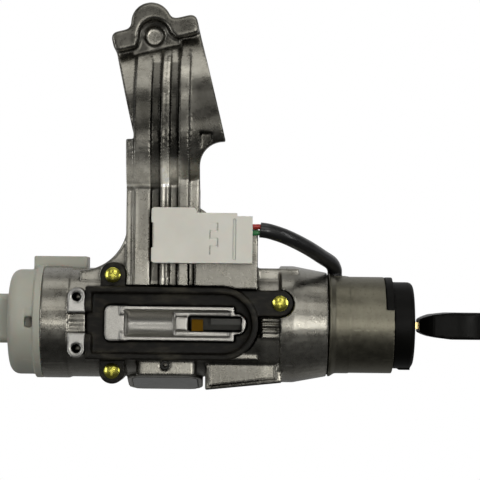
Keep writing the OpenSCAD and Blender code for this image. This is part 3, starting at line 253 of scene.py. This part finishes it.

# %% [markdown]
# ## Places on the casting
# The lights here only come near to those of the photo, so some areas of the casting are made lighter or
# darker. Each area has two corners (x, z) as seen from the front, the width of its soft border, and a factor
# for its colour. The boxes of the pads, the channel and the slot have corners (x, y, z).

# %% Where the casting is pale, where its slot is painted dark as shade, and where light and shade are painted on it
pads = ((-0.0422, -0.0258, -0.0955), (-0.0342, -0.0244, -0.0625), (0.58, 0.575, 0.55))
channel = ((-0.0275, -0.0275, -0.0866), (0.0300, -0.0185, -0.0714), (0.50, 0.49, 0.46))
slot = ((0.0062, -0.0238, -0.0822), (0.0278, -0.0180, -0.0758))
left, right = -0.05, 0.05  # past both sides of the arm
# Painted light and shade: each area below is made lighter or darker in place of light the lamps here don't
# give.
shaded_areas = {
    "saddle_top": ((left, 0.020), (right, 0.029), 0.003, 1.3),
    "saddle_face": ((left, -0.009), (right, 0.011), 0.004, 0.42),
    "saddle_panel": ((0.007, 0.008), (right, 0.017), 0.003, 0.32),
    "arm_crease": ((left, -0.0246), (0.002, -0.0236), 0.0004, 2.6),
    "arm_edge": ((left, -0.050), (-0.0142, -0.0240), 0.0008, 1.7),
    "arm_foot": ((left, -0.050), (0.006, -0.024), 0.0006, 0.75),
    "web": ((0.006, -0.066), (0.036, -0.050), 0.002, 0.7),
    "wedge": ((0.008, -0.110), (0.042, -0.094), 0.001, 0.6),
    "crown": ((left, 0.031), (right, 0.06), 0.002, 0.62),
    "collar_left": ((-0.0185, 0.030), (-0.0115, 0.0375), 0.001, 0.5),
    "nose_low": ((0.036, -0.1005), (0.0625, -0.0850), 0.0025, 1.7),
    "drum_middle": ((-0.060, -0.085), (-0.044, -0.0735), 0.0025, 1.45),
    "panel_low": ((0.009, -0.008), (right, 0.008), 0.003, 0.65),
    "rib_left": ((-0.0145, -0.002), (-0.0090, 0.012), 0.003, 0.6),
    "below_saddle": ((left, -0.0236), (0.003, -0.0170), 0.0014, 1.32),
    "below_saddle_middle": ((left, -0.0236), (0.003, -0.0142), 0.0014, 1.32),
    "below_saddle_top": ((left, -0.0236), (0.003, -0.0114), 0.0014, 1.32),
    "groove_left": ((-0.0092, -0.062), (-0.0054, 0.026), 0.0004, 0.42),
    "groove_right": ((-0.0015, -0.013), (0.0022, 0.026), 0.0004, 0.42),
    "rib_middle_high": ((-0.0045, 0.008), (-0.0016, 0.026), 0.0005, 1.9),
    "rib_middle_low": ((-0.0045, -0.030), (-0.0016, -0.009), 0.0005, 1.7),
    "rib_right": ((0.0026, 0.010), (0.0068, 0.024), 0.0006, 1.3),
}
arm_dull = ((left, -0.0260), (0.003, -0.0142), 0.0034, 0.75)
clamp_hole = (-0.009, 0.0375, 0.0034, 0.0064)
cast_metal("cast_metal", (0.33, 0.32, 0.285), (0.18, 0.172, 0.148), rough=0.29, pale_boxes=(pads, channel),
           painted_dark_boxes=(slot,), shades=shaded_areas.values(), dulled=(arm_dull,), hole=clamp_hole)
print("cast metal with", len(shaded_areas), "shaded areas")

# %% [markdown]
# ## Mouldings
# The guide, bezel and key head are black plastic with a fine spark eroded texture, and dust has settled on
# the guide. The switch is a milky nylon and the connector a cream one: light goes a little way into both,
# which softens their shadows.


# %% Plastics
def moulded(name, colour, rough, grain_scale, wear, shine=0.0, milk=0.0, glint=0.5, shade_in_hollows=0.55, dust=0.0):
    f = Finish(name)
    cloud = f.noise(70.0, 3.0)
    grain = f.noise(grain_scale, 2.0)
    smear = f.noise(240.0, 4.0, place=f.place.stretch((0.35, 1.0, 1.0)))
    worn = f.edges(0.53, 0.66)
    open_air = f.hollows(0.004)
    shade = cloud.mix([c * 0.86 for c in colour], [min(1.0, c * 1.1) for c in colour])
    shade = (worn * wear).mix(shade, [min(1.0, c * 1.25 + 0.04) for c in colour])
    if dust:
        shade = (smear.step(0.45, 0.7) * dust).mix(shade, (0.075, 0.068, 0.048))
    # Painted shade: deep in hollows and grooves the colour falls to a share of itself.
    shade = open_air.step(0.1, 0.8).mix([c * shade_in_hollows for c in colour], shade)
    roughness = rough + (smear - 0.5) * 0.2 + (cloud - 0.5) * 0.1
    normal = f.bump(grain + smear * 0.5, 0.2, 6e-5)
    finishes[name] = f.done(shade, roughness, normal, Coat_Weight=shine, Subsurface_Weight=milk,
                            Subsurface_Scale=0.0015, Specular_IOR_Level=glint)


near_black = (0.003, 0.003, 0.0025)
# The guide's black plastic is painted darker than the plastic itself, as shade.
moulded("black_plastic", (0.007, 0.0062, 0.0045), 0.48, 3200.0, wear=0.35, glint=0.18, dust=0.5)
moulded("bezel_plastic", near_black, 0.46, 3600.0, wear=0.3, glint=0.1)
moulded("key_plastic", near_black, 0.40, 3600.0, wear=0.3, glint=0.1)
moulded("switch_white", (0.44, 0.44, 0.375), 0.45, 2000.0, wear=0.2, milk=0.25)
moulded("connector_white", (0.76, 0.745, 0.67), 0.48, 2200.0, wear=0.2, milk=0.15, shade_in_hollows=0.12)
moulded("contact_board", (0.22, 0.12, 0.05), 0.55, 1800.0, wear=0.2)
moulded("red_wire", (0.50, 0.03, 0.02), 0.32, 2600.0, wear=0.1, shine=0.2)
moulded("green_wire", (0.03, 0.24, 0.07), 0.32, 2600.0, wear=0.1, shine=0.2)
moulded("sleeve_black", (0.010, 0.010, 0.010), 0.34, 2600.0, wear=0.2, shine=0.15)
print("nine plastics")

# %% [markdown]
# ## Plain metals
# Screws are plated with yellow zinc, the stop and wafers are brass, and the bar, bolt and springs are steel.
# They are cut from bar or strip, so their grain runs along one direction.


# %% Steel, brass and plated screws
def drawn_metal(name, colour, rough, wear=0.3, shade_in_hollows=0.3):
    f = Finish(name)
    lines = f.noise(1800.0, 3.0, place=f.place.stretch((0.08, 1.0, 1.0)))
    cloud = f.noise(220.0, 3.0)
    worn = f.edges()
    open_air = f.hollows(0.0025)
    shade = cloud.mix([c * 0.72 for c in colour], colour)
    shade = (worn * wear).mix(shade, [min(1.0, c * 1.3) for c in colour])
    # Painted shade: deep in hollows and grooves the colour falls to a share of itself.
    shade = open_air.step(0.1, 0.8).mix([c * shade_in_hollows for c in colour], shade)
    roughness = rough + (lines - 0.5) * 0.2
    finishes[name] = f.done(shade, roughness, f.bump(lines, 0.15, 4e-5), Metallic=1.0)


drawn_metal("yellow_zinc", (0.84, 0.78, 0.14), rough=0.24, wear=0.6, shade_in_hollows=0.06)
# Steel and stop brass are painted far darker than these metals are, as the shade the bar and the stop sit in.
drawn_metal("steel", (0.036, 0.036, 0.034), rough=0.34)
drawn_metal("spring_steel", (0.56, 0.56, 0.56), rough=0.28)
drawn_metal("stop_brass", (0.07, 0.036, 0.003), rough=0.40)
drawn_metal("wafer_brass", (0.70, 0.52, 0.22), rough=0.32)
drawn_metal("terminal_brass", (0.74, 0.58, 0.28), rough=0.30)
drawn_metal("key_brass", (0.78, 0.60, 0.28), rough=0.28)
print("seven drawn metals")

# %% Put the finishes on
for node, piece in frame["nodes"].items():
    piece.data.materials.clear()
    piece.data.materials.append(finishes[slot_of[node]])
print(len(finishes), "finishes on", len(frame["nodes"]), "pieces")

# %% [markdown]
# ## Soft edges
# A casting has no sharp edge: the die is rounded so that metal fills it and comes out again. Each casting or
# moulding is wrapped in an even skin of small squares, and the skin is relaxed until its corners have the
# right radius. Where the piece is finely cut, such as the channel, the skin is relaxed less, and in the
# bolt's passage not at all.


# %% Wrap a piece in a skin
def wrapped(mesh, square):
    holder = bpy.data.objects.new("skin", mesh)
    bpy.context.scene.collection.objects.link(holder)
    skin = holder.modifiers.new("even skin", "REMESH")
    skin.mode = "VOXEL"
    skin.voxel_size = square
    return holder


def settled(holder):
    """The piece's mesh with its modifiers worked in."""
    graph = bpy.context.evaluated_depsgraph_get()
    mesh = bpy.data.meshes.new_from_object(holder.evaluated_get(graph))
    old = holder.data
    holder.modifiers.clear()
    holder.data = mesh
    bpy.data.meshes.remove(old)
    return mesh


def joined_copy(node):
    """A copy of a measured piece with its faces joined at their edges."""
    solid = bmesh.new()
    solid.from_mesh(frame["nodes"][node].data)
    bmesh.ops.remove_doubles(solid, verts=solid.verts, dist=1e-6)
    mesh = bpy.data.meshes.new(node + "_skin")
    solid.to_mesh(mesh)
    solid.free()
    return mesh


print("skins ready")


# %% Relax a skin
def inside_boxes(places, boxes):
    kept = np.zeros(len(places), dtype=bool)
    for low, high in boxes:
        kept |= np.all((places > low) & (places < high), axis=1)
    return kept


def relax(piece, name, shares, rounds):
    """Smooths each point by its own share."""
    group = piece.vertex_groups.new(name=name)
    for share in np.unique(shares):
        group.add(np.flatnonzero(shares == share).tolist(), float(share), "REPLACE")
    smooth = piece.modifiers.new(name, "SMOOTH")
    smooth.factor = 0.5
    smooth.iterations = rounds
    smooth.vertex_group = name


def stand_in(piece, node):
    """Lets a new piece move in place of a measured one."""
    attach(piece, body_of[node])
    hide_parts(node)


def soften(node, square, rounds, limit, fine=(), sharp=(), round_boxes=(), round_rounds=0):
    """A copy of a piece with rounded edges, which stands for it. fine lists boxes that keep more of their
    edges, sharp those that keep all of them, and round_boxes those that get large rounds."""
    piece = wrapped(joined_copy(node), square)
    piece.name = node + "_soft"
    mesh = settled(piece)
    places = np.empty(len(mesh.vertices) * 3, dtype=np.float32)
    mesh.vertices.foreach_get("co", places)
    places = places.reshape(-1, 3)
    shares = np.where(inside_boxes(places, fine), 0.3, 1.0)
    shares[inside_boxes(places, sharp)] = 0.0
    relax(piece, "relaxed", shares, rounds)
    if round_boxes:
        relax(piece, "rounded", inside_boxes(places, round_boxes) * 1.0, round_rounds)
    count = sum(len(face.vertices) - 2 for face in mesh.polygons)
    if count > limit:
        thin = piece.modifiers.new("thin", "DECIMATE")
        thin.ratio = limit / count
    piece.modifiers.new("even shading", "WEIGHTED_NORMAL")
    mesh = settled(piece)
    piece.vertex_groups.clear()
    for face in mesh.polygons:
        face.use_smooth = True
    mesh.materials.clear()
    mesh.materials.append(finishes[slot_of[node]])
    stand_in(piece, node)
    print(node, "now has", len(mesh.polygons), "faces")


# %% Soften the castings and mouldings
guide_area = ((-0.048, -0.04, -0.097), (0.034, -0.0172, -0.061))
ridge_area = ((0.033, -0.04, -0.086), (0.0442, -0.018, -0.074))
gusset_area = ((0.017, -0.04, -0.032), (0.05, 0.04, -0.012))
crown_area = ((-0.05, -0.04, 0.0285), (0.05, 0.04, 0.06))
bolt_way = ((-0.0085, -0.0058, -0.105), (0.0015, 0.0155, -0.015))
soften("lock_housing", 0.00042, rounds=8, limit=190000, fine=(guide_area, ridge_area), sharp=(bolt_way,),
       round_boxes=(crown_area, gusset_area), round_rounds=30)
soften("lock_bolt", 0.0004, rounds=8, limit=60000)
soften("barrel_sleeve", 0.00035, rounds=2, limit=120000)
soften("guide_cover", 0.0004, rounds=3, limit=60000)
soften("bezel", 0.0004, rounds=2, limit=40000)
soften("switch_case", 0.00045, rounds=3, limit=70000)
soften("connector_housing", 0.00025, rounds=1, limit=110000)
soften("key_head", 0.0005, rounds=5, limit=40000)

# %% [markdown]
# ## The bolt's spring
# The spring stands on the cover plate and pushes the lock bolt. It could be flattened as a whole, but a real
# spring grows longer too when the bolt rises. Here a copy of the measured spring stands in its place and
# stays where it was measured.

# %% Copy the spring in place of the measured one
spring = bpy.data.objects.new("bolt_spring_live", frame["nodes"]["bolt_spring"].data.copy())
bpy.context.scene.collection.objects.link(spring)
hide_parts("bolt_spring")
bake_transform(spring)

# %% [markdown]
# ## The lead
# Two wires run in a black sleeve from the connector to the boss beside the barrel. A sleeve of this kind
# bends in one even curve, so it is swept along a smooth line through the measured points of its route. The
# points are in millimetres from the middle of the lock, where the bolt crosses the key's axis.

# %% The lead's route
lead_points = [(38, -31, 37.4), (42, -30.6, 36.8), (49, -27, 34.6), (57, -19.5, 31), (63.5, -10.5, 27.4),
               (67.3, -4.4, 25.2), (68.9, -0.9, 22.8), (69.1, 0, 20.6), (69.1, 0, 17)]
wire_points = [(34.6, -31, 37.4), (36.2, -31, 37.4), *lead_points, (69.1, 0, 16.2)]
lock_middle = Vector((-3.5, 0, -79))


def route(points, steps=8):
    """A smooth line through the points, in metres."""
    p = [(Vector(q) + lock_middle) * 0.001 for q in points]
    line = []
    for i in range(len(p) - 1):
        a, b, c, d = p[max(i - 1, 0)], p[i], p[i + 1], p[min(i + 2, len(p) - 1)]
        for s in range(steps):
            t = s / steps
            line.append(0.5 * (2 * b + (c - a) * t + (2 * a - 5 * b + 4 * c - d) * t ** 2
                               + (3 * b - a - 3 * c + d) * t ** 3))
    return line + [p[-1]]


def sides_of(line):
    """Two directions across the line at each point."""
    pairs = []
    for i in range(len(line)):
        way = (line[min(i + 1, len(line) - 1)] - line[max(i - 1, 0)]).normalized()
        across = way.cross(Vector((0, 1, 0))).normalized()
        pairs.append((across, across.cross(way)))
    return pairs


print("route through", len(lead_points), "points")


# %% Sweep the wires and their sleeve
def swept(name, node, line, radii, closed_wall=False):
    """A round cord along a line. With a wall, it is a hose: out along the line and back inside."""
    around = 20
    turns = [k * math.tau / around for k in range(around)]
    pairs = sides_of(line)
    rings = [(i, radii[0]) for i in range(len(line))]
    if closed_wall:
        rings += [(i, radii[1]) for i in reversed(range(len(line)))]
    points = [line[i] + r * (math.cos(turn) * pairs[i][0] + math.sin(turn) * pairs[i][1])
              for i, r in rings for turn in turns]
    faces = []
    last = len(rings) if closed_wall else len(rings) - 1
    for i in range(last):
        j = (i + 1) % len(rings)
        for k in range(around):
            beyond = (k + 1) % around
            faces.append((i * around + k, i * around + beyond, j * around + beyond, j * around + k))
    if not closed_wall:
        last_ring = (len(rings) - 1) * around
        faces += [tuple(range(around)), tuple(last_ring + k for k in reversed(range(around)))]
    mesh = bpy.data.meshes.new(name)
    mesh.from_pydata(points, [], faces)
    work = bmesh.new()
    work.from_mesh(mesh)
    bmesh.ops.recalc_face_normals(work, faces=work.faces)
    work.to_mesh(mesh)
    work.free()
    for face in mesh.polygons:
        face.use_smooth = True
    mesh.materials.append(finishes[slot_of[node]])
    piece = bpy.data.objects.new(name, mesh)
    bpy.context.scene.collection.objects.link(piece)
    stand_in(piece, node)


sleeve_r, sleeve_bore_r, wire_r = 0.003, 0.0023, 0.00105
swept("lead_sleeve", "wire_sleeve", route(lead_points), (sleeve_r, sleeve_bore_r), True)
wire_line = route(wire_points)
for node, side in (("wire_red", 0.0012), ("wire_green", -0.0012)):
    beside = [point + side * pair[0] for point, pair in zip(wire_line, sides_of(wire_line))]
    swept(node + "_smooth", node, beside, (wire_r,))
print("lead swept in one curve")

# %% [markdown]
# ## Studio
# The photo is a catalogue shot on white paper. The paper shows in every surface that turns away from the
# camera, the light stands beside the camera, and the dark room shows in between. Here the backdrop and the
# back of a pale floor play the paper, and the floor darkens towards the camera. To the camera itself both
# are white.


# %% Backdrop and floor
def paper(name, front, under, behind):
    """White to the camera. To all other rays it glows differently in front of, under and behind the lock.
    On the floor the dim glow under the lock is a painted shadow of it.
    """
    f = Finish(name)
    rays = f.node("ShaderNodeLightPath", {}, {}, "Is Camera Ray")
    depth = f.place.parts()[1] + (f.noise(3.0, 2.0) - 0.5) * 0.05
    # Painted shadow: to all rays but the camera's, the floor glows least under the lock.
    back = depth.step(-0.05, 0.15).mix([under] * 3, [behind] * 3)
    room = f.node("ShaderNodeEmission", {}, {"Color": depth.step(-0.36, -0.22).mix([front] * 3, back)})
    white = f.node("ShaderNodeEmission", {}, {"Color": (1.0, 1.0, 1.0)})
    f.show(f.node("ShaderNodeMixShader", {}, {0: rays, 1: room, 2: white}))
    return f.material


def sheet(name, corners, **glow):
    mesh = bpy.data.meshes.new(name)
    mesh.from_pydata(corners, [], [(0, 1, 2, 3)])
    mesh.materials.append(paper(name, **glow))
    thing = bpy.data.objects.new(name, mesh)
    bpy.context.scene.collection.objects.link(thing)


half_w, near, far, floor_z, top = 4, -4, 3, -0.26, 8
foot_line = [(-half_w, far, floor_z), (half_w, far, floor_z)]
# The floor's low glow under the lock is a painted shadow of the lock.
sheet("floor", [(-half_w, near, floor_z), (half_w, near, floor_z), *reversed(foot_line)],
      front=0.12, under=0.05, behind=0.25)
sheet("backdrop", [*foot_line, (half_w, far, top), (-half_w, far, top)],
      front=0.65, under=0.65, behind=0.65)
print("floor and backdrop set")


# %% Lights
def soft_light(name, place, size, power, tone=(1.0, 1.0, 1.0)):
    lamp = bpy.data.lights.new(name, "AREA")
    lamp.shape = "RECTANGLE"
    lamp.size, lamp.size_y = size
    lamp.energy = power
    lamp.color = tone
    thing = bpy.data.objects.new(name, lamp)
    thing.location = place
    thing.rotation_euler = (lit_place - Vector(place)).to_track_quat("-Z", "Y").to_euler()
    bpy.context.scene.collection.objects.link(thing)


lit_place = Vector((0.02, 0.0, -0.05))
warm = (1.0, 0.985, 0.95)
soft_light("front box", (0.10, -0.82, 0.55), (1.0, 0.42), 2.1, warm)
soft_light("camera light", (0.10, -1.00, -0.09), (0.70, 0.14), 1.1, warm)
soft_light("side light", (0.36, -0.97, -0.03), (0.22, 0.34), 1.6, warm)
soft_light("top box", (0.0, -0.12, 0.80), (0.9, 0.35), 1.2, warm)
soft_light("left strip", (-0.75, -0.45, 0.0), (0.12, 0.7), 1.6)
soft_light("right strip", (0.85, -0.35, 0.1), (0.10, 0.6), 1.2)
print("six soft lights")

# %% The room, dim to the lock and white to the camera
world = bpy.data.worlds.new("room")
world.use_nodes = True
tree = world.node_tree
tree.nodes.clear()
grey, white = (tree.nodes.new("ShaderNodeBackground") for _ in range(2))
grey.inputs["Color"].default_value = (0.17, 0.168, 0.163, 1.0)
white.inputs["Color"].default_value = (1.0, 1.0, 1.0, 1.0)
either = tree.nodes.new("ShaderNodeMixShader")
tree.links.new(tree.nodes.new("ShaderNodeLightPath").outputs["Is Camera Ray"], either.inputs[0])
tree.links.new(grey.outputs[0], either.inputs[1])
tree.links.new(white.outputs[0], either.inputs[2])
tree.links.new(either.outputs[0], tree.nodes.new("ShaderNodeOutputWorld").inputs["Surface"])
bpy.context.scene.world = world
bpy.context.scene.view_settings.view_transform = "Standard"
print("room set")

# %% [markdown]
# ## Camera
# The photo looks straight at the guide from a little below the arm, with a long lens. The camera leans by
# a little over half a degree, as the photo does.

# %% Camera at the photo's angle
eye = Vector((0.0266, -0.8, -0.0695))
aim = Vector((0.0266, 0.0, -0.0447))
half_view, distance = 0.0985, 0.8
lean = math.radians(0.6)
lens = bpy.data.cameras.new("camera")
lens.sensor_width = 36.0
lens.angle = 2 * math.atan(half_view / distance)
camera = bpy.data.objects.new("camera", lens)
camera.location = eye
camera.rotation_euler = (aim - eye).to_track_quat("-Z", "Y").to_euler()
camera.rotation_euler.rotate_axis("Z", lean)
bpy.context.scene.collection.objects.link(camera)
bpy.context.scene.camera = camera
print("camera at", [round(v, 3) for v in eye])
